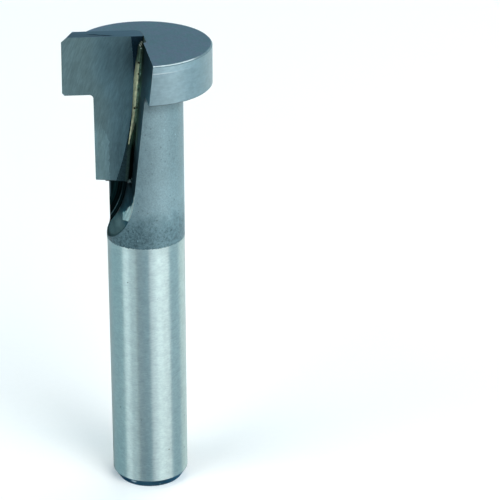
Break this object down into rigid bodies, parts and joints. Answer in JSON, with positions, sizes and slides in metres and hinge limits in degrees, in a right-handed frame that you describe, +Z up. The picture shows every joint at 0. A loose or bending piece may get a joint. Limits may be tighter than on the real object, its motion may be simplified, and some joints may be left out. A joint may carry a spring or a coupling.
{
  "type": "keyhole router bit",
  "caption": "Keyhole router bit: a ground shank and neck under a round head, with a carbide plate shaped like half a tee brazed into a milled gullet.",
  "frame": {"origin": "centre of the flat shank end", "axes": "+Z up along the axis from the shank to the head; the cutting face looks towards -Y and its edge points to -X"},
  "size_m": [0.012, 0.0112, 0.039],
  "materials": {
    "steel": "ground shank, blasted neck and head, fine turned edge on the head",
    "carbide": "dark grey, ground with fine slanting marks",
    "braze": "dull silver brazing alloy with small pits"
  },
  "bodies": {
    "root": {"steel_body": "steel", "carbide_cutter": "carbide", "braze_joint": "braze"}
  },
  "joints": []
}
